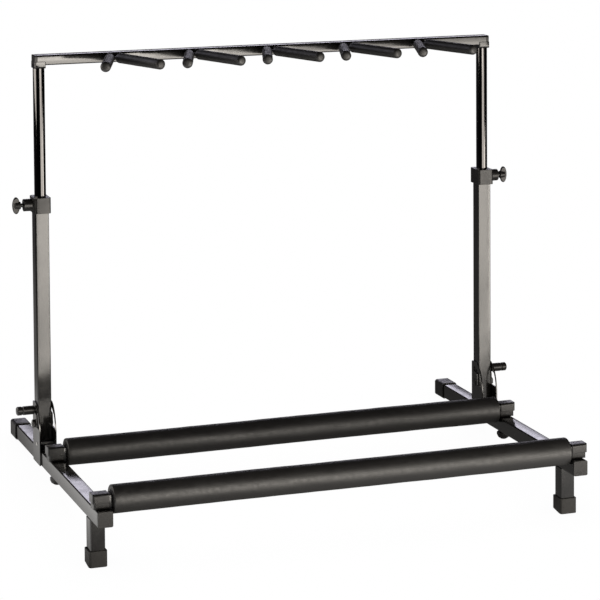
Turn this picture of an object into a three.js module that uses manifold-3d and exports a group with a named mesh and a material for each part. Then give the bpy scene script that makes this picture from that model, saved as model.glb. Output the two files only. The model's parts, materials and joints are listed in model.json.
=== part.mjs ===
// Folding floor rack for five guitars. Units are millimetres, +Z up, the front of the rack faces -Y.
//
// Everything is laid out in the rack's own frame and tipped onto the floor at the end:
//   x  to the right, 0 on the middle of the rack
//   y  backward along the base rails, 0 at the front face of the rail caps
//   z  at a right angle to the rails, 0 on their top face
// The rails rise toward the front, so that frame is tipped back by TILT.
import * as THREE from 'three';
import { mergeVertices } from 'three/addons/utils/BufferGeometryUtils.js';
import Module from 'manifold-3d';

// ---- driving dimensions -------------------------------------------------------------------
const TILT = THREE.MathUtils.degToRad(7.8);
const WIDTH = 745; // over the outer sides of the rails
const GAP = 0.3; // between neighbouring pieces
const HOLE_GAP = 0.6; // added to a shank's diameter for its hole

const TUBE = 22;
const TUBE_WALL = 1.5;
const TUBE_RADIUS = 2;
const SIDE_X = (WIDTH - TUBE) / 2; // centre line of a side frame

const RAIL = { end: 528 };
const FRONT_CAP = { face: 4, plug: 12, plugSide: 18.2 };
const REAR_CAP = { start: 499, end: 531, side: 25.6, radius: 4 };
const FLOOR_FACET = 0.6; // how far the rear caps' lower edge is flattened where it stands

const LEG = { y: 55, bottom: -84 };
const FOOT = { y: 55.5, top: -67.5, bottom: -96, width: 27, depth: 28.5, radius: 4 };

const PLATE = { thickness: 1.8, front: 332.5, back: 374.6, bottom: -21.7, top: 69 };
const BROW = { start: 357, bulgeY: 337.5, bulgeZ: 62, end: 28 }; // the plate's curved front corner
const WINDOW = { front: 335.3, back: 354, bottom: 32.5, top: 53.5, topFront: 342.5 };
const PIVOT = { y: 363, z: 36, shank: 8, head: 12, headHeight: 1.4, nut: 11, nutHeight: 3.4 };
const LOCK = { radius: 21, pin: 7, slot: 8, knob: 13.2, length: 26.8, sweep: 88.5, cap: 18.2 };
const STOP_PIN = { y: 349.2, z: 8, diameter: 5, over: 0.6 };

const UPRIGHT = { y: 363, width: 21.6, bottom: 3, top: 377 };
const COLLAR = { width: 25.2, depth: 36.4, bottom: 358, top: 381.5, radius: 4 };
const BOSS = { diameter: 18.5, end: 26 };
const SCREW = { shank: 6, hub: 12, start: 30.6, length: 12.4, span: 25.4, wing: 4.8 };
const POLE = { diameter: 17.6, wall: 1.5, bottom: 262, top: 575.7 };

const BAR = { half: 365.5, depth: 22, height: 15.4, z: 588.3, wall: 1.5, radius: 2.5, plug: 3.7 };
const SADDLE = { width: 17, wall: 1.6, radius: 2, top: 586, shoulder: 581.5, bottom: 576, keel: 17.8 };
const SPIGOT = { length: 12, diameter: 14 }; // the saddle's stub inside the pole

const PEG_PAIRS = 5;
const PEG_PITCH = 125;
const PEG = { root: 3.3, splay: THREE.MathUtils.degToRad(18.1), rod: 6, rodLength: 112 };
const SLEEVE = { start: 14.4, end: 127.8, diameter: 15.5, lip: 1.2 };

const CROSS = { front: 20.7, rear: 279.2, side: 18, half: 374, z: 11.3 };
const CROSS_CAP = { inner: 353, outer: 377, side: 22, radius: 3.5, end: 3, step: 9.5, inset: 0.9 };
const FOAM = { diameter: 40, half: 348, edge: 1.5 };
const BOLT = { shank: 6, reach: 7, flatHead: 12, flatHeight: 2.4, knob: 21, knobHeight: 13.8 };

const ROUND_STEPS = 32;
const SMALL_STEPS = 16;
const SLEEVE_STEPS = 20;
const FOAM_STEPS = 40;

// ---- materials ----------------------------------------------------------------------------
function material(colour, roughness, metalness) {
  return new THREE.MeshStandardMaterial({ color: colour, roughness, metalness });
}
const blackPaint = material(0x242325, 0.38, 0.15);
const blackChrome = material(0x3c3b3d, 0.16, 0.9);
const darkPlastic = material(0x2b2a2b, 0.55, 0);
const rubber = material(0x343233, 0.75, 0);
const foam = material(0x2a2929, 0.92, 0);
const zinc = material(0xb9b7b2, 0.32, 1);

// ---- solids -------------------------------------------------------------------------------
const wasm = await Module();
wasm.setup();

function solid(geometry) {
  const bare = geometry.clone();
  bare.deleteAttribute('normal');
  bare.deleteAttribute('uv');
  const merged = mergeVertices(bare, 1e-4);
  const vertProperties = new Float32Array(merged.attributes.position.array);
  const triVerts = new Uint32Array(merged.index.array);
  return new wasm.Manifold(new wasm.Mesh({ numProp: 3, vertProperties, triVerts }));
}

function geometryOf(body) {
  const { vertProperties, triVerts } = body.getMesh();
  const geometry = new THREE.BufferGeometry();
  geometry.setAttribute('position', new THREE.BufferAttribute(new Float32Array(vertProperties), 3));
  geometry.setIndex(new THREE.BufferAttribute(new Uint32Array(triVerts), 1));
  return geometry;
}

const subtractAll = (body, cutters) => cutters.reduce((rest, cutter) => rest.subtract(cutter), body);
const addAll = (body, others) => others.reduce((sum, other) => sum.add(other), body);

// Turns a shape drawn in (u, v) and pulled along its third axis so that it is pulled along x, y or z.
function orient(geometry, along) {
  if (along === 'x') {
    geometry.applyMatrix4(new THREE.Matrix4().set(0, 0, 1, 0, 1, 0, 0, 0, 0, 1, 0, 0, 0, 0, 0, 1));
  }
  if (along === 'y') {
    geometry.applyMatrix4(new THREE.Matrix4().set(0, 1, 0, 0, 0, 0, 1, 0, 1, 0, 0, 0, 0, 0, 0, 1));
  }
  return geometry;
}

function roundedRect(width, height, radius) {
  const x = width / 2;
  const y = height / 2;
  const shape = new THREE.Shape();
  shape.moveTo(x, y - radius);
  shape.absarc(x - radius, y - radius, radius, 0, Math.PI / 2, false);
  shape.absarc(-x + radius, y - radius, radius, Math.PI / 2, Math.PI, false);
  shape.absarc(-x + radius, -y + radius, radius, Math.PI, 1.5 * Math.PI, false);
  shape.absarc(x - radius, -y + radius, radius, 1.5 * Math.PI, 2 * Math.PI, false);
  return shape;
}

function extruded(shape, depth, curveSegments = 3) {
  return new THREE.ExtrudeGeometry(shape, { depth, bevelEnabled: false, curveSegments });
}

// A bar with a rounded rectangular section, pulled along an axis from `from` to `to` and centred on (a, b),
// the two other coordinates in x, y, z order.
function prism(along, width, height, radius, from, to, a, b) {
  const sides = along === 'y' ? [height, width] : [width, height];
  const geometry = orient(extruded(roundedRect(sides[0], sides[1], radius), to - from), along);
  const shift = { x: [from, a, b], y: [a, from, b], z: [a, b, from] }[along];
  return solid(geometry.translate(...shift));
}

function tube(along, width, height, radius, wall, from, to, a, b) {
  const inner = Math.max(radius - wall, 0.5);
  const outside = prism(along, width, height, radius, from, to, a, b);
  const inside = prism(along, width - 2 * wall, height - 2 * wall, inner, from - 1, to + 1, a, b);
  return outside.subtract(inside);
}

function cylinder(along, diameter, from, to, a, b, steps = SMALL_STEPS) {
  const geometry = new THREE.CylinderGeometry(diameter / 2, diameter / 2, to - from, steps);
  const middle = (from + to) / 2;
  if (along === 'x') geometry.rotateZ(-Math.PI / 2).translate(middle, a, b);
  if (along === 'y') geometry.translate(a, middle, b);
  if (along === 'z') geometry.rotateX(Math.PI / 2).translate(a, b, middle);
  return solid(geometry);
}

// A solid of revolution from [radius, height] pairs that start and end on the axis, which points along +x.
function turned(profile, steps = SMALL_STEPS) {
  const points = profile.map(([radius, height]) => new THREE.Vector2(radius, height));
  return new THREE.LatheGeometry(points, steps).rotateZ(-Math.PI / 2);
}

// ---- base -----------------------------------------------------------------------------------
// Every side piece is made for the right side; the left one is its mirror image.
function floorCutter() {
  const size = 2000;
  const slab = new THREE.BoxGeometry(size, size, size);
  slab.translate(0, 0, -size / 2).rotateX(TILT);
  const edge = -REAR_CAP.side / 2 - TUBE / 2 + FLOOR_FACET;
  return solid(slab.translate(0, REAR_CAP.end, edge));
}
const belowFloor = floorCutter();

function boltHoles(y, from, to) {
  return cylinder('z', BOLT.shank + HOLE_GAP, from, to, SIDE_X, y);
}

function rail() {
  const start = FRONT_CAP.face + GAP;
  const body = tube('y', TUBE, TUBE, TUBE_RADIUS, TUBE_WALL, start, RAIL.end, SIDE_X, -TUBE / 2);
  return subtractAll(body, [CROSS.front, CROSS.rear].map((y) => boltHoles(y, -TUBE - 1, 1)));
}

function railFrontCap() {
  const face = prism('y', TUBE, TUBE, TUBE_RADIUS, 0, FRONT_CAP.face, SIDE_X, -TUBE / 2);
  const end = FRONT_CAP.face + FRONT_CAP.plug;
  const side = FRONT_CAP.plugSide;
  return face.add(prism('y', side, side, 1, FRONT_CAP.face - 1, end, SIDE_X, -TUBE / 2));
}

function railRearCap() {
  const { start, end, side, radius } = REAR_CAP;
  const pocket = TUBE + 2 * GAP;
  const body = prism('y', side, side, radius, start, end, SIDE_X, -TUBE / 2);
  const hollow = prism('y', pocket, pocket, TUBE_RADIUS, start - 1, RAIL.end + GAP, SIDE_X, -TUBE / 2);
  return body.subtract(hollow).subtract(belowFloor);
}

function leg() {
  return tube('z', TUBE, TUBE, TUBE_RADIUS, TUBE_WALL, LEG.bottom, -TUBE - GAP, SIDE_X, LEG.y);
}

function foot() {
  const { width, depth, radius, bottom, top, y } = FOOT;
  const pocket = TUBE + 2 * GAP;
  const body = prism('z', width, depth, radius, bottom, top, SIDE_X, y);
  const hollow = prism('z', pocket, pocket, TUBE_RADIUS, LEG.bottom - GAP, top + 1, SIDE_X, LEG.y);
  return body.subtract(hollow).subtract(belowFloor);
}

// ---- fold bracket ---------------------------------------------------------------------------
function plateOutline() {
  const { front, back, bottom, top } = PLATE;
  const corner = 3;
  const shape = new THREE.Shape();
  shape.moveTo(front, bottom);
  shape.lineTo(back, bottom);
  shape.lineTo(back, top - corner);
  shape.quadraticCurveTo(back, top, back - corner, top);
  shape.lineTo(BROW.start, top);
  shape.quadraticCurveTo(BROW.bulgeY, BROW.bulgeZ, front, BROW.end);
  return shape;
}

// The see-through opening in front of the upright. It widens the lower part of the lock pin's slot.
function plateWindow(from, to) {
  const { front, back, bottom, top, topFront } = WINDOW;
  const shape = new THREE.Shape();
  shape.moveTo(front, bottom);
  shape.lineTo(back, bottom);
  shape.lineTo(back, top);
  shape.lineTo(topFront, top);
  shape.quadraticCurveTo(front, (bottom + top) / 2, front, bottom);
  return solid(orient(extruded(shape, to - from, 8), 'x').translate(from, 0, 0));
}

// The slot that the lock pin runs in while the upright folds: an arc about the pivot.
function lockSlot(from, to) {
  const middle = LOCK.radius;
  const half = LOCK.slot / 2;
  const start = Math.PI / 2;
  const end = start + THREE.MathUtils.degToRad(LOCK.sweep);
  const shape = new THREE.Shape();
  const endY = middle * Math.cos(end);
  const endZ = middle * Math.sin(end);
  shape.absarc(0, 0, middle + half, start, end, false);
  shape.absarc(endY, endZ, half, end, end + Math.PI, false);
  shape.absarc(0, 0, middle - half, end, start, true);
  shape.absarc(0, middle, half, start + Math.PI, start + 2 * Math.PI, false);
  const geometry = orient(extruded(shape, to - from, 14), 'x');
  return solid(geometry.translate(from, PIVOT.y, PIVOT.z));
}

function hingePlate(outward) {
  const start = outward ? SIDE_X + TUBE / 2 + GAP : SIDE_X - TUBE / 2 - GAP - PLATE.thickness;
  const end = start + PLATE.thickness;
  const body = solid(orient(extruded(plateOutline(), PLATE.thickness, 10), 'x').translate(start, 0, 0));
  return subtractAll(body, [
    cylinder('x', PIVOT.shank + HOLE_GAP, start - 1, end + 1, PIVOT.y, PIVOT.z),
    cylinder('x', STOP_PIN.diameter + HOLE_GAP, start - 1, end + 1, STOP_PIN.y, STOP_PIN.z),
    lockSlot(start - 1, end + 1),
    plateWindow(start - 1, end + 1),
  ]);
}

const bracketOuter = SIDE_X + TUBE / 2 + GAP + PLATE.thickness;
const bracketInner = SIDE_X - TUBE / 2 - GAP - PLATE.thickness;

// The bolt's low head lies against the inner plate and its nut against the outer one.
function pivotBolt() {
  const { shank, head, headHeight, nutHeight } = PIVOT;
  const seat = bracketInner - GAP;
  const tip = bracketOuter + GAP + nutHeight + 1;
  const chamfer = 0.8;
  const profile = [
    [0, seat - headHeight],
    [head * 0.3, seat - headHeight],
    [head / 2, seat - headHeight * 0.4],
    [head / 2, seat],
    [shank / 2, seat],
    [shank / 2, tip - chamfer],
    [shank / 2 - chamfer, tip],
    [0, tip],
  ];
  return solid(turned(profile).translate(0, PIVOT.y, PIVOT.z));
}

function pivotNut() {
  const start = bracketOuter + GAP;
  const end = start + PIVOT.nutHeight;
  const hex = cylinder('x', PIVOT.nut / Math.cos(Math.PI / 6), start, end, PIVOT.y, PIVOT.z, 6);
  return hex.subtract(cylinder('x', PIVOT.shank + HOLE_GAP, start - 1, end + 1, PIVOT.y, PIVOT.z));
}

function stopPin() {
  const { diameter, over, y, z } = STOP_PIN;
  return cylinder('x', diameter, bracketInner - over, bracketOuter + over, y, z);
}

// A pin with a straight round knob; a groove sets the knob's end cap off from its body.
function lockPlunger() {
  const { pin, knob, length, cap } = LOCK;
  const seat = bracketOuter + 1;
  const tip = bracketInner + 1;
  const end = seat + length;
  const edge = 0.7;
  const profile = [
    [0, tip],
    [pin / 2 - edge, tip],
    [pin / 2, tip + edge],
    [pin / 2, seat],
    [knob / 2 - edge, seat],
    [knob / 2, seat + edge],
    [knob / 2, seat + cap - 2 * edge],
    [knob / 2 - edge, seat + cap - edge],
    [knob / 2 - edge, seat + cap + edge],
    [knob / 2, seat + cap + 2 * edge],
    [knob / 2, end - 2 * edge],
    [knob / 2 - 2 * edge, end],
    [0, end],
  ];
  return solid(turned(profile, ROUND_STEPS).translate(0, PIVOT.y, PIVOT.z + LOCK.radius));
}

// ---- upright, clamp and pole ----------------------------------------------------------------
const clampZ = (COLLAR.bottom + COLLAR.top) / 2;
const lockZ = PIVOT.z + LOCK.radius;

function upright() {
  const { width, bottom, top, y } = UPRIGHT;
  const body = tube('z', width, TUBE, TUBE_RADIUS, TUBE_WALL, bottom, top, SIDE_X, y);
  const left = SIDE_X - width;
  const right = SIDE_X + width;
  return subtractAll(body, [
    cylinder('x', PIVOT.shank + HOLE_GAP, left, right, y, PIVOT.z),
    cylinder('x', LOCK.pin + HOLE_GAP, left, right, y, lockZ),
    cylinder('x', SCREW.shank + HOLE_GAP, SIDE_X, right, y, clampZ),
  ]);
}

function clampCollar() {
  const { width, depth, bottom, top, radius } = COLLAR;
  const y = UPRIGHT.y;
  const body = prism('z', width, depth, radius, bottom, top, SIDE_X, y);
  const boss = cylinder('x', BOSS.diameter, SIDE_X + width / 4, SIDE_X + BOSS.end, y, clampZ, ROUND_STEPS);
  const socket = [UPRIGHT.width + 2 * GAP, TUBE + 2 * GAP];
  return subtractAll(body.add(boss), [
    prism('z', socket[0], socket[1], TUBE_RADIUS, bottom - 1, UPRIGHT.top + GAP, SIDE_X, y),
    cylinder('z', POLE.diameter + HOLE_GAP, bottom, top + 1, SIDE_X, y, ROUND_STEPS),
    cylinder('x', SCREW.shank + HOLE_GAP, SIDE_X, SIDE_X + BOSS.end + 1, y, clampZ),
  ]);
}

// The screw's handle: an upright oval paddle with bevelled edges.
function screwPaddle() {
  const { start, length, span, wing } = SCREW;
  const halfWidth = (length - 1) / 2;
  const bevel = 0.12;
  const profile = [
    [0, -wing / 2],
    [1 - bevel, -wing / 2],
    [1, -wing / 4],
    [1, wing / 4],
    [1 - bevel, wing / 2],
    [0, wing / 2],
  ];
  const points = profile.map(([radius, height]) => new THREE.Vector2(radius, height));
  const geometry = new THREE.LatheGeometry(points, ROUND_STEPS).scale(halfWidth, 1, span / 2);
  return solid(geometry.translate(SIDE_X + start + 1 + halfWidth, UPRIGHT.y, clampZ));
}

function clampScrew() {
  const { shank, hub, start, length } = SCREW;
  const tip = POLE.diameter / 2 + GAP;
  const profile = [
    [0, tip],
    [shank / 2 - 0.6, tip],
    [shank / 2, tip + 0.6],
    [shank / 2, start],
    [hub / 2 - 0.6, start],
    [hub / 2, start + 0.8],
    [hub / 2 - 1, start + length * 0.7],
    [hub / 2 - 2.5, start + length * 0.78],
    [0, start + length * 0.8],
  ];
  const body = solid(turned(profile).translate(SIDE_X, UPRIGHT.y, clampZ));
  return body.add(screwPaddle());
}

function pole() {
  const { diameter, wall, bottom, top } = POLE;
  const outside = cylinder('z', diameter, bottom, top, SIDE_X, UPRIGHT.y, ROUND_STEPS);
  const bore = cylinder('z', diameter - 2 * wall, bottom - 1, top + 1, SIDE_X, UPRIGHT.y, ROUND_STEPS);
  return outside.subtract(bore);
}

// ---- neck bar -------------------------------------------------------------------------------
// Seen along the bar, the saddle has upright sides and an underside that curves in to the pole.
function saddleOutline() {
  const { wall, top, shoulder, bottom, keel } = SADDLE;
  const side = BAR.depth / 2 + GAP + wall;
  const shape = new THREE.Shape();
  shape.moveTo(-side, top);
  shape.lineTo(-side, shoulder);
  shape.quadraticCurveTo(-side, bottom, -keel / 2, bottom);
  shape.lineTo(keel / 2, bottom);
  shape.quadraticCurveTo(side, bottom, side, shoulder);
  shape.lineTo(side, top);
  return shape;
}

function barSaddle() {
  const { width, wall, radius, top, bottom } = SADDLE;
  const y = UPRIGHT.y;
  const depth = BAR.depth + 2 * (GAP + wall);
  const profile = orient(extruded(saddleOutline(), width, 6), 'x').translate(SIDE_X - width / 2, y, 0);
  const block = solid(profile).intersect(prism('z', width, depth, radius, bottom - 1, top + 1, SIDE_X, y));
  const stub = cylinder('z', SPIGOT.diameter, bottom - SPIGOT.length, bottom + 1, SIDE_X, y, ROUND_STEPS);
  const channelHeight = 2 * (BAR.height + GAP);
  const channelZ = BAR.z - BAR.height / 2 - GAP + channelHeight / 2;
  const channelDepth = BAR.depth + 2 * GAP;
  const ends = [SIDE_X - width, SIDE_X + width];
  return block.add(stub).subtract(prism('x', channelDepth, channelHeight, BAR.radius, ...ends, y, channelZ));
}

// Places a geometry that runs along +x from its root onto one peg: pair centre x and side -1 or 1.
function ontoPeg(geometry, pairX, side) {
  geometry.rotateZ(-Math.PI / 2 + side * PEG.splay);
  return geometry.translate(pairX + side * PEG.root, UPRIGHT.y - BAR.depth / 2, BAR.z);
}

function pegPairs() {
  return Array.from({ length: PEG_PAIRS }, (_, i) => (i - (PEG_PAIRS - 1) / 2) * PEG_PITCH);
}

function pegRod(pairX, side) {
  const root = -1.2;
  const profile = [
    [0, root],
    [PEG.rod / 2, root],
    [PEG.rod / 2, PEG.rodLength - 1],
    [PEG.rod / 2 - 1, PEG.rodLength],
    [0, PEG.rodLength],
  ];
  return solid(ontoPeg(turned(profile, 16), pairX, side));
}

function neckBar() {
  const { half, depth, height, radius, wall, z } = BAR;
  const body = tube('x', depth, height, radius, wall, -half, half, UPRIGHT.y, z);
  const rods = pegPairs().flatMap((x) => [pegRod(x, -1), pegRod(x, 1)]);
  return addAll(body, rods);
}

function barPlug() {
  const { half, depth, height, radius, wall, plug, z } = BAR;
  const start = half + GAP;
  const face = prism('x', depth, height, radius, start, start + plug, UPRIGHT.y, z);
  const inside = 2 * (wall + GAP);
  return face.add(prism('x', depth - inside, height - inside, 1, start - 14, start + 1, UPRIGHT.y, z));
}

function pegSleeve(pairX, side) {
  const { start, end, diameter, lip } = SLEEVE;
  const outer = diameter / 2;
  const bore = PEG.rod / 2 + GAP;
  const domeSteps = 5;
  const profile = [
    [0, PEG.rodLength + GAP],
    [bore, PEG.rodLength + GAP],
    [bore, start],
    [outer - lip, start],
    [outer, start + lip],
  ];
  for (let i = 0; i <= domeSteps; i += 1) {
    const angle = (i / domeSteps) * (Math.PI / 2);
    profile.push([i === domeSteps ? 0 : outer * Math.cos(angle), end - outer + outer * Math.sin(angle)]);
  }
  return solid(ontoPeg(turned(profile, SLEEVE_STEPS), pairX, side));
}

// ---- cross tubes ----------------------------------------------------------------------------
function crossTube(y) {
  const { half, side, z } = CROSS;
  const body = tube('x', side, side, TUBE_RADIUS, TUBE_WALL, -half, half, y, z);
  const hole = (x) => cylinder('z', BOLT.shank + HOLE_GAP, -1, z, x, y);
  return subtractAll(body, [hole(-SIDE_X), hole(SIDE_X)]);
}

// The part of a cross tube's end cap between two heights: a sleeve whose outer end is rounded in plan.
function capLayer(y, inset, from, to) {
  const { inner, outer, side, radius, end } = CROSS_CAP;
  const tip = outer - 2 * inset;
  const width = side - 2 * inset;
  const long = prism('x', width, side, radius, inner, tip, y, CROSS.z);
  return long.intersect(prism('z', tip - inner + end, width, end, from, to, (inner - end + tip) / 2, y));
}

// The cap's lower part is a little narrower, so its upper part overhangs it as a rim.
function crossCap(y) {
  const { inner, side, step, inset } = CROSS_CAP;
  const pocket = CROSS.side + 2 * GAP;
  const body = capLayer(y, inset, 0, step).add(capLayer(y, 0, step, 2 * side));
  return subtractAll(body, [
    prism('x', pocket, pocket, TUBE_RADIUS, inner - 1, CROSS.half + GAP, y, CROSS.z),
    boltHoles(y, -1, CROSS.z),
  ]);
}

function foamSleeve(y) {
  const { diameter, half, edge } = FOAM;
  const radius = diameter / 2;
  const profile = [
    [0, -half],
    [radius - edge, -half],
    [radius, -half + edge],
    [radius, half - edge],
    [radius - edge, half],
    [0, half],
  ];
  const body = solid(turned(profile, FOAM_STEPS).translate(0, y, CROSS.z));
  const bore = CROSS.side + 2 * GAP;
  return body.subtract(prism('x', bore, bore, TUBE_RADIUS, -half - 1, half + 1, y, CROSS.z));
}

// The front bolt has a low head; the rear one has a domed knob for undoing it by hand.
function crossBolt(y, knobbed) {
  const { shank, reach, flatHead, flatHeight, knob, knobHeight } = BOLT;
  const seat = -TUBE - GAP;
  const head = knobbed
    ? [
        [0, seat - knobHeight],
        [knob * 0.2, seat - knobHeight],
        [knob * 0.4, seat - knobHeight * 0.8],
        [knob / 2, seat - knobHeight * 0.5],
        [knob / 2, seat - knobHeight * 0.25],
        [knob * 0.3, seat],
      ]
    : [
        [0, seat - flatHeight],
        [flatHead * 0.3, seat - flatHeight],
        [flatHead / 2, seat - flatHeight * 0.4],
        [flatHead / 2, seat],
      ];
  const pin = [
    [shank / 2, seat],
    [shank / 2, reach - 0.8],
    [shank / 2 - 0.8, reach],
    [0, reach],
  ];
  const geometry = turned([...head, ...pin]).rotateY(-Math.PI / 2);
  return solid(geometry.translate(SIDE_X, y, 0));
}

// ---- assembly -------------------------------------------------------------------------------
const root = new THREE.Group();
root.name = 'guitar_rack';

function place(name, body, paint) {
  const mesh = new THREE.Mesh(geometryOf(body), paint);
  mesh.name = name;
  root.add(mesh);
}

// Places a piece of the right side frame and its mirror image on the left.
function placeSides(name, body, paint) {
  place(`right_${name}`, body, paint);
  place(`left_${name}`, body.mirror([1, 0, 0]), paint);
}

placeSides('rail', rail(), blackPaint);
placeSides('rail_front_cap', railFrontCap(), darkPlastic);
placeSides('rail_rear_cap', railRearCap(), darkPlastic);
placeSides('leg', leg(), blackPaint);
placeSides('foot', foot(), rubber);
placeSides('hinge_plate_outer', hingePlate(true), blackPaint);
placeSides('hinge_plate_inner', hingePlate(false), blackPaint);
placeSides('pivot_bolt', pivotBolt(), blackPaint);
placeSides('pivot_nut', pivotNut(), blackPaint);
placeSides('stop_pin', stopPin(), zinc);

placeSides('upright', upright(), blackPaint);
placeSides('clamp_collar', clampCollar(), darkPlastic);
placeSides('clamp_screw', clampScrew(), darkPlastic);
placeSides('lock_plunger', lockPlunger(), darkPlastic);

placeSides('pole', pole(), blackChrome);
placeSides('bar_saddle', barSaddle(), blackPaint);
place('neck_bar', neckBar(), blackPaint);
placeSides('bar_plug', barPlug(), darkPlastic);
pegPairs().forEach((x, i) => {
  place(`peg_sleeve_${i + 1}_left`, pegSleeve(x, -1), foam);
  place(`peg_sleeve_${i + 1}_right`, pegSleeve(x, 1), foam);
});

[['front', CROSS.front, false], ['rear', CROSS.rear, true]].forEach(([end, y, knobbed]) => {
  place(`${end}_cross_tube`, crossTube(y), blackPaint);
  place(`${end}_foam_sleeve`, foamSleeve(y), foam);
  placeSides(`${end}_cross_cap`, crossCap(y), darkPlastic);
  placeSides(`${end}_cross_bolt`, crossBolt(y, knobbed), darkPlastic);
});

// Tips the rack onto its feet, with the floor at z = 0 and its depth centred on y = 0.
root.children.forEach((mesh) => mesh.geometry.rotateX(-TILT));
const extent = new THREE.Box3().setFromObject(root);
const middleY = (extent.min.y + extent.max.y) / 2;
root.children.forEach((mesh) => {
  mesh.geometry.translate(0, -middleY, -extent.min.z);
  mesh.geometry.computeVertexNormals();
});

export default root;
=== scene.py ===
"""Looks for the guitar rack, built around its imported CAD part. All lengths are metres."""

import json
import math

import bpy
import numpy as np
from mathutils import Matrix, Vector, noise


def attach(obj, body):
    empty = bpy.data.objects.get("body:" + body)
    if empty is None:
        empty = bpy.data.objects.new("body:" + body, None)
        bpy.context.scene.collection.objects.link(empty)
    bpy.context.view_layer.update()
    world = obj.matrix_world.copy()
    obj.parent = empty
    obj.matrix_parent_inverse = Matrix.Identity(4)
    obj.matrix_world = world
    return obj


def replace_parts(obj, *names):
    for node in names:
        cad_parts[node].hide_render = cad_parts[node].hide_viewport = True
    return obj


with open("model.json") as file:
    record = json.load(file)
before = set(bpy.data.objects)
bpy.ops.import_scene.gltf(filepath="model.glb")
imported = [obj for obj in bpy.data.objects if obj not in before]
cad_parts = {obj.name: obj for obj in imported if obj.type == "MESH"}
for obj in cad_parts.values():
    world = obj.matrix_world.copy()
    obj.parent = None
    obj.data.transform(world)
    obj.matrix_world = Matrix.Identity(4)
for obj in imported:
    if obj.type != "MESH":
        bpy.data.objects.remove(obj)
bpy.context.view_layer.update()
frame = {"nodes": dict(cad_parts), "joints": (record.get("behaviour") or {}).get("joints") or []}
nodes = frame["nodes"]

# ---- the rack's own axes ---------------------------------------------------------------------
# The rack leans on its legs: x is across, y runs back along the rails, z runs up the uprights.
slide = next(j for j in frame["joints"] if j["name"] == "height_slide")
UP = Vector(slide["axis"]).normalized()
BACK = Vector((0, UP.z, -UP.y))
RACK = Matrix((Vector((1, 0, 0)), BACK, UP)).transposed()
RACK_INVERSE = RACK.transposed()


def points(node):
    """A CAD node's vertices in the rack's own axes."""
    flat = np.empty(len(nodes[node].data.vertices) * 3)
    nodes[node].data.vertices.foreach_get("co", flat)
    return flat.reshape(-1, 3) @ np.array(RACK_INVERSE).T


def rack_box(node):
    """(lowest, highest) corner of a CAD node in the rack's own axes."""
    p = points(node)
    return Vector(p.min(0)), Vector(p.max(0))


def axis_line(node, towards):
    """The two ends of a turned node's axis; the second is the one that points along `towards`."""
    p = points(node)
    centre = p.mean(0)
    direction = np.linalg.svd(p - centre, full_matrices=False)[2][0]
    if direction @ np.array(towards) < 0:
        direction = -direction
    along = (p - centre) @ direction
    return Vector(centre + direction * along.min()), Vector(centre + direction * along.max())


# ---- materials -------------------------------------------------------------------------------
class Graph:
    """A shader node tree built in code."""

    def __init__(self, tree):
        self.tree = tree
        tree.nodes.clear()

    def plug(self, socket, value):
        if isinstance(value, bpy.types.NodeSocket):
            self.tree.links.new(value, socket)
        else:
            socket.default_value = value

    def add(self, kind, inputs=None, **settings):
        node = self.tree.nodes.new("ShaderNode" + kind)
        for name, value in settings.items():
            setattr(node, name, value)
        for name, value in (inputs or {}).items():
            self.plug(node.inputs[name], value)
        return node

    def place(self):
        return self.add("TexCoord").outputs["Object"]

    def stretched(self, scale):
        """Object coordinates scaled by three factors, for marks that run one way."""
        return self.add("Mapping", {"Vector": self.place(), "Scale": scale}).outputs[0]

    def noise(self, scale, detail=3.0, rough=0.5, at=None):
        inputs = {"Vector": at or self.place(), "Scale": scale, "Detail": detail, "Roughness": rough}
        return self.add("TexNoise", inputs).outputs["Fac"]

    def cells(self, scale):
        """Distance from the middle of small scattered cells."""
        return self.add("TexVoronoi", {"Vector": self.place(), "Scale": scale}).outputs["Distance"]

    def ramp(self, value, low, high, to_low=0.0, to_high=1.0):
        return self.add("MapRange", {0: value, 1: low, 2: high, 3: to_low, 4: to_high}).outputs[0]

    def math(self, operation, a, b=0.0):
        return self.add("Math", {0: a, 1: b}, operation=operation).outputs[0]

    def mix(self, factor, a, b):
        return self.add("Mix", {0: factor, 6: a, 7: b}, data_type="RGBA").outputs[2]

    def rounded(self, radius):
        """A normal that rounds sharp edges off."""
        return self.add("Bevel", {"Radius": radius}, samples=4).outputs[0]

    def edge_wear_and_highlight(self, rounded):
        """1 along sharp edges, where the rounded normal turns away from the true one: the edges are
        painted lighter there, partly as wear and partly as a painted edge highlight.
        """
        true = self.add("NewGeometry").outputs["Normal"]
        agree = self.add("VectorMath", {0: rounded, 1: true}, operation="DOT_PRODUCT").outputs["Value"]
        return self.ramp(agree, 0.99, 0.86)

    def bump(self, height, strength, distance, normal=None):
        inputs = {"Height": height, "Strength": strength, "Distance": distance}
        if normal is not None:
            inputs["Normal"] = normal
        return self.add("Bump", inputs).outputs[0]

    def principled(self, base, roughness, normal, **extra):
        inputs = {"Base Color": base, "Roughness": roughness, "Normal": normal}
        inputs.update({name.replace("_", " "): value for name, value in extra.items()})
        return self.add("BsdfPrincipled", inputs).outputs[0]

    def finish(self, shader, output="OutputMaterial"):
        self.plug(self.add(output).inputs["Surface"], shader)


def new_material(name):
    material = bpy.data.materials.new(name)
    material.use_nodes = True
    return material, Graph(material.node_tree)


def colour(r, g=None, b=None):
    """A colour from its three parts, or a neutral grey from one."""
    return (r, r if g is None else g, r if b is None else b, 1.0)


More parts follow.
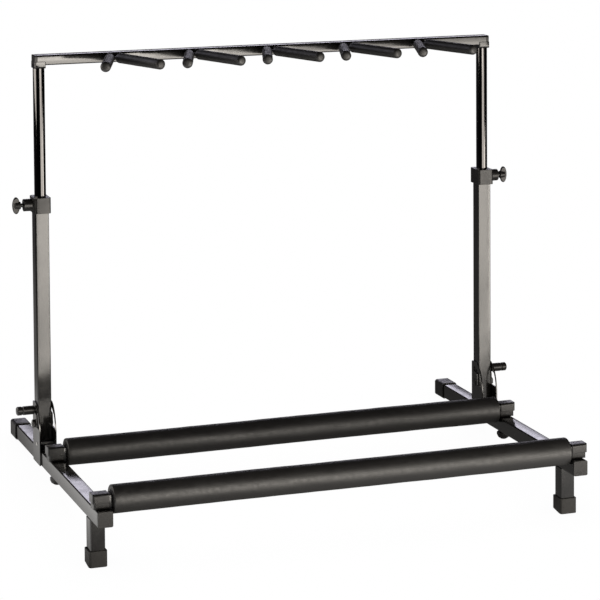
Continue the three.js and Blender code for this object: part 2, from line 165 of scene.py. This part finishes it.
def paint(name):
    """Black powder coat: a fine orange peel with tiny bright flecks, painted lighter along the edges as
    wear and as a painted edge highlight.
    """
    material, g = new_material(name)
    rounded = g.rounded(0.0006)
    edge_wear_and_highlight = g.edge_wear_and_highlight(rounded)
    cloud = g.noise(9.0)
    grain = g.noise(900.0, detail=2.0, rough=0.6)
    fleck = g.ramp(g.noise(620.0, detail=1.0), 0.56, 0.74)
    base = g.mix(cloud, colour(0.006, 0.0057, 0.0053), colour(0.011, 0.0104, 0.0098))
    base = g.mix(g.math("MULTIPLY", fleck, 0.25), base, colour(0.05, 0.048, 0.045))
    # Lighter along sharp edges: some wear, and a painted edge highlight.
    base = g.mix(g.math("MULTIPLY", edge_wear_and_highlight, 0.25), base, colour(0.06, 0.056, 0.05))
    roughness = g.ramp(g.noise(45.0, detail=4.0, rough=0.6), 0.3, 0.7, 0.11, 0.19)
    peel = g.math("ADD", g.noise(1300.0, detail=2.0), g.math("MULTIPLY", grain, 0.6))
    normal = g.bump(peel, 0.05, 0.00012, rounded)
    g.finish(g.principled(base, roughness, normal, Specular_IOR_Level=1.0))
    return material


def chrome(name):
    """Black chrome: a dark mirror with faint drawing lines along the tube."""
    material, g = new_material(name)
    lines = g.noise(260.0, detail=2.0, rough=0.6, at=g.stretched((4.0, 4.0, 0.15)))
    tint = g.mix(g.noise(14.0), colour(0.082, 0.080, 0.080), colour(0.105, 0.102, 0.101))
    roughness = g.ramp(lines, 0.3, 0.7, 0.05, 0.09)
    normal = g.bump(lines, 0.015, 0.00005)
    g.finish(g.principled(tint, roughness, normal, Metallic=1.0))
    return material


def moulded(name, dark, light, rough, texture, edge):
    """Moulded plastic or rubber: a fine spark-eroded texture, softened edges, slight mottling."""
    material, g = new_material(name)
    rounded = g.rounded(edge)
    edge_wear_and_highlight = g.edge_wear_and_highlight(rounded)
    speck = g.ramp(g.noise(1500.0, detail=2.0, rough=0.7), 0.58, 0.75)
    base = g.mix(g.noise(30.0, detail=4.0), dark, light)
    base = g.mix(g.math("MULTIPLY", speck, 0.35), base, colour(0.12, 0.115, 0.11))
    # Lighter along sharp edges: some wear, and a painted edge highlight.
    base = g.mix(g.math("MULTIPLY", edge_wear_and_highlight, 0.3), base, colour(0.13, 0.125, 0.12))
    roughness = g.ramp(g.noise(70.0), 0.3, 0.7, rough - 0.06, rough + 0.08)
    normal = g.bump(g.cells(1700.0), texture, 0.00012, rounded)
    g.finish(g.principled(base, roughness, normal))
    return material


def plastic(name):
    dark = colour(0.008, 0.0076, 0.0073)
    light = colour(0.015, 0.0145, 0.0139)
    return moulded(name, dark, light, rough=0.32, texture=0.25, edge=0.0008)


def rubber(name):
    dark = colour(0.014, 0.0132, 0.012)
    light = colour(0.026, 0.0247, 0.0225)
    return moulded(name, dark, light, rough=0.55, texture=0.35, edge=0.0012)


def foam_skin(name):
    """Closed-cell foam tube: a satin skin over fine cells with painted shade in their pores, and faint rub
    marks along it.
    """
    material, g = new_material(name)
    pores_and_pit_shade = g.ramp(g.cells(420.0), 0.0, 0.16)
    rub = g.noise(26.0, detail=5.0, rough=0.6, at=g.stretched((0.35, 1.0, 1.0)))
    base = g.mix(rub, colour(0.007, 0.0065, 0.0061), colour(0.013, 0.0121, 0.0113))
    # The pores are painted darker: painted shade in the small pits, which the same mask also sinks as
    # bumps.
    base = g.mix(pores_and_pit_shade, colour(0.006), base)
    roughness = g.ramp(g.noise(120.0, detail=4.0, rough=0.65), 0.3, 0.7, 0.43, 0.59)
    height = g.math("ADD", g.math("MULTIPLY", g.cells(900.0), 0.7), g.math("MULTIPLY", pores_and_pit_shade, 0.5))
    fine = g.bump(height, 0.35, 0.00025)
    slow = g.bump(g.noise(55.0), 0.25, 0.0008, fine)
    g.finish(g.principled(base, roughness, slow, Specular_IOR_Level=0.95))
    return material


def zinc_plate(name):
    """Zinc-plated steel: bright and slightly cloudy, with a fine grain."""
    material, g = new_material(name)
    rounded = g.rounded(0.0004)
    cloud = g.noise(180.0, detail=5.0, rough=0.6)
    tint = g.mix(cloud, colour(0.62, 0.62, 0.60), colour(0.86, 0.85, 0.82))
    roughness = g.ramp(cloud, 0.3, 0.7, 0.42, 0.58)
    normal = g.bump(g.noise(2400.0, detail=2.0), 0.15, 0.00008, rounded)
    g.finish(g.principled(tint, roughness, normal, Metallic=1.0))
    return material


MATERIALS = {
    "black_paint": paint("powder_coat"),
    "black_chrome": chrome("black_chrome_tube"),
    "dark_plastic": plastic("moulded_plastic"),
    "rubber": rubber("foot_rubber"),
    "foam": foam_skin("foam_sleeve"),
    "zinc": zinc_plate("zinc_plate"),
}


# ---- CAD nodes: shading and finish ------------------------------------------------------------
SHARP_ANGLE = math.radians(32)
SAME_PLACE = 1e-6


def shading_group():
    """Joins the split corners, then shades smooth except across edges over the sharp angle."""
    tree = bpy.data.node_groups.new("smooth_by_angle", "GeometryNodeTree")
    tree.interface.new_socket("Geometry", in_out="INPUT", socket_type="NodeSocketGeometry")
    tree.interface.new_socket("Geometry", in_out="OUTPUT", socket_type="NodeSocketGeometry")
    add = tree.nodes.new
    start, end = add("NodeGroupInput"), add("NodeGroupOutput")
    merge = add("GeometryNodeMergeByDistance")
    merge.inputs["Distance"].default_value = SAME_PLACE
    faces = add("GeometryNodeSetShadeSmooth")
    angle = add("GeometryNodeInputMeshEdgeAngle")
    sharp = add("FunctionNodeCompare")
    sharp.operation = "GREATER_THAN"
    sharp.inputs["B"].default_value = SHARP_ANGLE
    edges = add("GeometryNodeSetShadeSmooth")
    edges.domain = "EDGE"
    edges.inputs["Shade Smooth"].default_value = False
    link = tree.links.new
    link(start.outputs[0], merge.inputs["Geometry"])
    link(merge.outputs["Geometry"], faces.inputs["Geometry"])
    link(faces.outputs[0], edges.inputs["Geometry"])
    link(angle.outputs["Unsigned Angle"], sharp.inputs["A"])
    link(sharp.outputs[0], edges.inputs["Selection"])
    link(edges.outputs[0], end.inputs[0])
    return tree


def dress(node, shading):
    """Gives a CAD node its material and its shading."""
    slot_name = node.data.materials[0].name.split(".")[0]
    node.data.materials[0] = MATERIALS[slot_name]
    if "custom_normal" in node.data.attributes:
        node.data.attributes.remove(node.data.attributes["custom_normal"])
    node.modifiers.new("smooth_by_angle", "NODES").node_group = shading


smooth = shading_group()
for cad_node in nodes.values():
    dress(cad_node, smooth)


# ---- lofted pieces ----------------------------------------------------------------------------
def circle(count, way=1):
    """Equal angles round a circle; way -1 runs them backwards."""
    return [way * 2 * math.pi * j / count for j in range(count)]


def loft(name, rings, body, closed=True):
    """A foam tube of equal rings of rack-axis points: the last ring joins the first, or both get a lid."""
    count = len(rings[0])
    mesh = bpy.data.meshes.new(name)
    faces = []
    for i in range(len(rings) if closed else len(rings) - 1):
        a, b = i * count, ((i + 1) % len(rings)) * count
        faces += [(a + j, a + (j + 1) % count, b + (j + 1) % count, b + j) for j in range(count)]
    if not closed:
        last = (len(rings) - 1) * count
        faces += [tuple(reversed(range(count))), tuple(range(last, last + count))]
    mesh.from_pydata([RACK @ p for ring in rings for p in ring], [], faces)
    mesh.polygons.foreach_set("use_smooth", [True] * len(mesh.polygons))
    mesh.materials.append(MATERIALS["foam"])
    mesh.update()
    piece = bpy.data.objects.new(name, mesh)
    bpy.context.scene.collection.objects.link(piece)
    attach(piece, body)
    return piece


# A cross tube's sleeve: a round skin with rolled ends over a square hole.
SLEEVE_AROUND = circle(72)
SLEEVE_STEP = 0.006
SLEEVE_HOLE = 0.0093
HOLE_CORNER = 0.002
SLEEVE_EDGE = 0.0018
SLEEVE_DISH = 0.0004
SLEEVE_SAG = 0.0003
SWELL, RIPPLE = 0.00028, 0.00012


def trimmed_square(angle):
    """How far the square hole's outline, its corners trimmed to a circle, is from its middle."""
    flat = SLEEVE_HOLE / max(abs(math.cos(angle)), abs(math.sin(angle)))
    corner = math.hypot(SLEEVE_HOLE - HOLE_CORNER, SLEEVE_HOLE - HOLE_CORNER) + HOLE_CORNER
    return min(flat, corner)


def sleeve_profile(half, radius):
    """(x, radius) along the skin, from one rolled end to the other."""
    straight = half - SLEEVE_EDGE
    steps = int(2 * straight / SLEEVE_STEP)
    skin = [(-straight + 2 * straight * i / steps, radius) for i in range(steps + 1)]
    turns = [math.radians(t) for t in (30, 60, 90)]
    end = [(straight + SLEEVE_EDGE * math.sin(t), radius - SLEEVE_EDGE * (1 - math.cos(t))) for t in turns]
    start = [(-x, r) for x, r in reversed(end)]
    return start + skin + end


def foam_sleeve(name, seed):
    """A long foam sleeve whose skin isn't quite straight or round."""
    low, high = rack_box(name)
    middle = (low + high) / 2
    radius = (high.z - low.z) / 2
    half = (high.x - low.x) / 2

    def at(x, angle, reach, sag=0.0):
        return middle + Vector((x, math.cos(angle) * reach, math.sin(angle) * reach - sag))

    def skin_ring(x, r):
        sag = SLEEVE_SAG * math.sin(x * 9 + seed)
        ring = []
        for a in SLEEVE_AROUND:
            spot = Vector((x * 18, math.cos(a) * 1.1, math.sin(a) * 1.1 + seed))
            uneven = SWELL * noise.noise(spot) + RIPPLE * noise.noise(spot * 3.1)
            ring.append(at(x, a, r + uneven, sag))
        return ring

    def hole_ring(x):
        return [at(x, a, trimmed_square(a)) for a in SLEEVE_AROUND]

    cut = half - SLEEVE_DISH
    cut_radius = (radius + SLEEVE_HOLE) / 2
    rings = [skin_ring(x, r) for x, r in sleeve_profile(half, radius)]
    rings += [skin_ring(cut, cut_radius), hole_ring(half), hole_ring(-half), skin_ring(-cut, cut_radius)]
    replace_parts(loft(name + "_soft", rings, "base"), name)


# A peg's sleeve: a rolled root, a straight skin and a domed tip over a short blind hole.
PEG_AROUND = circle(40, way=-1)
PEG_HOLE = 0.0033
PEG_HOLE_DEPTH = 0.014
PEG_ROOT = 0.0014
PEG_TIP = 0.0052
PEG_STEPS = 26
PEG_SWELL = 0.00016
TIP_FULLNESS = 0.62


def peg_profile(length, radius):
    """(distance from the root, radius) from the bottom of the hole, over the root, to the tip."""
    straight = length - PEG_TIP
    hole = [(PEG_HOLE_DEPTH, PEG_HOLE), (0.0, PEG_HOLE)]
    turns = (0.0, 0.5, 1.0, math.pi / 2)
    root = [(PEG_ROOT * (1 - math.cos(t)), radius - PEG_ROOT * (1 - math.sin(t))) for t in turns]
    skin = [(PEG_ROOT + (straight - PEG_ROOT) * i / PEG_STEPS, radius) for i in range(1, PEG_STEPS + 1)]
    dome = [math.radians(t) for t in (12, 25, 40, 55, 70, 82, 88)]
    tip = [(straight + PEG_TIP * math.sin(t), radius * math.cos(t) ** TIP_FULLNESS) for t in dome]
    return hole + root + skin + tip


def peg_sleeve(name, seed):
    """A foam sleeve on a peg, slightly uneven along its length."""
    root, tip = axis_line(name, (0, -1, 0))
    along = (tip - root).normalized()
    low, high = rack_box(name)
    radius = (high.z - low.z) / 2
    side = along.cross(Vector((0, 0, 1))).normalized()
    up = side.cross(along).normalized()

    def ring(x, r):
        out = []
        for a in PEG_AROUND:
            spot = Vector((x * 45, math.cos(a) * 1.2, math.sin(a) * 1.2 + seed))
            uneven = PEG_SWELL * noise.noise(spot) if r > PEG_HOLE else 0.0
            out.append(root + along * x + (side * math.cos(a) + up * math.sin(a)) * (r + uneven))
        return out

    rings = [ring(x, r) for x, r in peg_profile((tip - root).length, radius)]
    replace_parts(loft(name + "_soft", rings, "neck_carriage", closed=False), name)


# Each sleeve gets its own stretch of the noise.
for index, sleeve in enumerate(("front_foam_sleeve", "rear_foam_sleeve")):
    foam_sleeve(sleeve, 3.7 * index)
for index, sleeve in enumerate(sorted(n for n in nodes if n.startswith("peg_sleeve"))):
    peg_sleeve(sleeve, 1.9 * index)


# ---- floor and room ---------------------------------------------------------------------------
FLOOR_REACH = 40.0


def floor_glow(g):
    """How brightly the floor shows in the glossy paint: mostly at the back left and in front."""
    spot = g.add("NewGeometry").outputs["Position"]
    distance = g.add("VectorMath", {0: spot}, operation="LENGTH").outputs["Value"]
    x, y = g.add("SeparateXYZ", {0: spot}).outputs[:2]
    near = g.ramp(distance, 0.9, 1.3, 1.0, 0.0)
    left = g.math("MULTIPLY", g.ramp(x, -0.36, -0.44), g.ramp(y, 0.15, 0.48, 1.0, 0.10))
    front = g.math("MULTIPLY", g.ramp(y, -0.16, -0.30), g.ramp(x, -0.45, 0.55, 0.10, 0.50))
    inside = g.ramp(y, 0.10, 0.60, 0.07, 0.02)
    return g.math("MULTIPLY", near, g.math("MAXIMUM", inside, g.math("MAXIMUM", left, front)))


def pale_floor():
    """White to the camera, with a faint contact shade; a soft table in reflections."""
    material, g = new_material("pale_floor")
    open_air = g.add("AmbientOcclusion", {"Distance": 0.10}, samples=8).outputs["AO"]
    shade = g.mix(g.ramp(open_air, 0.15, 0.95, 0.80, 1.0), colour(0.80, 0.80, 0.81), colour(1.0))
    seen = g.add("Emission", {"Color": shade, "Strength": 1.0}).outputs[0]
    glow = g.add("Emission", {"Color": colour(1.0, 0.985, 0.965), "Strength": floor_glow(g)}).outputs[0]
    grey = g.add("BsdfDiffuse", {"Color": colour(0.3)}).outputs[0]
    table = g.add("AddShader", {0: grey, 1: glow}).outputs[0]
    camera_ray = g.add("LightPath").outputs["Is Camera Ray"]
    g.finish(g.add("MixShader", {0: camera_ray, 1: table, 2: seen}).outputs[0])
    material.cycles.emission_sampling = "NONE"
    return material


def floor():
    corners = [(-1, -1), (1, -1), (1, 1), (-1, 1)]
    mesh = bpy.data.meshes.new("floor")
    mesh.from_pydata([(x * FLOOR_REACH, y * FLOOR_REACH, 0) for x, y in corners], [], [(0, 1, 2, 3)])
    mesh.materials.append(pale_floor())
    piece = bpy.data.objects.new("floor", mesh)
    bpy.context.scene.collection.objects.link(piece)


def room():
    """White behind the rack for the camera, dark for the light that falls on it."""
    world = bpy.data.worlds.new("studio")
    world.use_nodes = True
    bpy.context.scene.world = world
    g = Graph(world.node_tree)
    white = g.add("Background", {"Color": colour(1.0), "Strength": 1.0}).outputs[0]
    dark = g.add("Background", {"Color": colour(0.025, 0.024, 0.025), "Strength": 1.0}).outputs[0]
    camera_ray = g.add("LightPath").outputs["Is Camera Ray"]
    shader = g.add("MixShader", {0: camera_ray, 1: dark, 2: white}).outputs[0]
    g.finish(shader, output="OutputWorld")


# ---- lights -----------------------------------------------------------------------------------
WARM = (1.0, 0.94, 0.86)
COOL = (0.90, 0.87, 1.0)


def softbox(name, centre, target, width, height, brightness, tint=WARM):
    """A soft panel of even brightness that faces its target; it isn't seen by the camera."""
    light = bpy.data.lights.new(name, "AREA")
    light.shape = "RECTANGLE"
    light.size, light.size_y = width, height
    light.energy = brightness * width * height * math.pi
    light.color = tint
    panel = bpy.data.objects.new(name, light)
    panel.location = centre
    panel.rotation_euler = (Vector(target) - Vector(centre)).to_track_quat("-Z", "Y").to_euler()
    panel.visible_camera = False
    bpy.context.scene.collection.objects.link(panel)


def lights():
    """The paint acts as a dark mirror, so each panel stands where a face's mirror image looks."""
    # The fronts of the uprights show these three; the third lies on the floor.
    softbox("key_left", (0.24, -2.0, 0.34), (0.0, 0.0, 0.25), 0.80, 0.56, 4.9)
    softbox("key_right", (1.05, -2.0, 0.34), (0.2, 0.0, 0.25), 0.80, 0.56, 4.6)
    softbox("floor_panel", (0.55, -1.50, 0.01), (0.55, -1.50, 1.0), 1.8, 1.3, 4.2)
    # The front of the neck bar shows these two.
    softbox("bar_panel", (0.25, -2.0, 0.78), (0.0, 0.0, 0.5), 0.90, 0.32, 8.0)
    softbox("bar_panel_right", (1.05, -2.0, 0.78), (0.2, 0.0, 0.5), 0.70, 0.32, 3.0)
    # The poles, the right upright and the right foot catch this one.
    softbox("right_panel", (1.50, -1.20, 0.18), (0.3, -0.2, 0.05), 0.7, 0.45, 9.0)
    # The poles and the faces that look left catch this one.
    softbox("left_panel", (-1.25, 0.35, 0.58), (-0.36, 0.1, 0.56), 1.3, 0.30, 4.5)
    # The tops of the rails show the far panel; the last one keeps the back from going black.
    softbox("back_panel", (2.75, 7.0, 1.50), (0.3, 0.0, 0.1), 3.8, 1.05, 2.8, COOL)
    softbox("rear_fill", (-1.6, 2.4, 1.3), (0.0, 0.1, 0.3), 1.6, 1.2, 1.2, COOL)


# ---- camera -----------------------------------------------------------------------------------
# The camera looks from the front left, above the rack. Its frame is shifted down, as with a view
# camera, so that the uprights stay almost parallel; the shift is only used from this place.
CAMERA_AT = (-1.226, -3.3786, 1.5466)
YAW, PITCH, ROLL = math.radians(19.36), math.radians(3.65), math.radians(-0.38)
LENS = 149.9058
SENSOR = 36
SHIFT = -0.6128


def camera_turn():
    """The camera's orientation, from yaw, pitch and roll in the rack's own axes."""
    forward = Vector((math.sin(YAW) * math.cos(PITCH), math.cos(YAW) * math.cos(PITCH), -math.sin(PITCH)))
    right = Vector((math.cos(YAW), -math.sin(YAW), 0))
    up = right.cross(forward)
    across = right * math.cos(ROLL) + up * math.sin(ROLL)
    upright = up * math.cos(ROLL) - right * math.sin(ROLL)
    return Matrix([RACK @ across, RACK @ upright, RACK @ -forward]).transposed().to_euler()


def shift_only_from_here(camera):
    """Drives the frame's shift, so that the same camera moved elsewhere looks straight ahead."""
    driver = camera.data.driver_add("shift_y").driver
    place = driver.variables.new()
    place.name = "x"
    place.targets[0].id = camera
    place.targets[0].data_path = "location[0]"
    driver.expression = f"{SHIFT} if abs(x + {-CAMERA_AT[0]}) < 0.001 else 0"


def photo_camera():
    data = bpy.data.cameras.new("camera")
    data.lens, data.sensor_width = LENS, SENSOR
    data.clip_start, data.clip_end = 0.05, 200
    camera = bpy.data.objects.new("camera", data)
    camera.location = CAMERA_AT
    camera.rotation_euler = camera_turn()
    bpy.context.scene.collection.objects.link(camera)
    bpy.context.scene.camera = camera
    shift_only_from_here(camera)


floor()
room()
lights()
photo_camera()
scene = bpy.context.scene
scene.view_settings.view_transform = "Standard"
scene.cycles.use_denoising = True
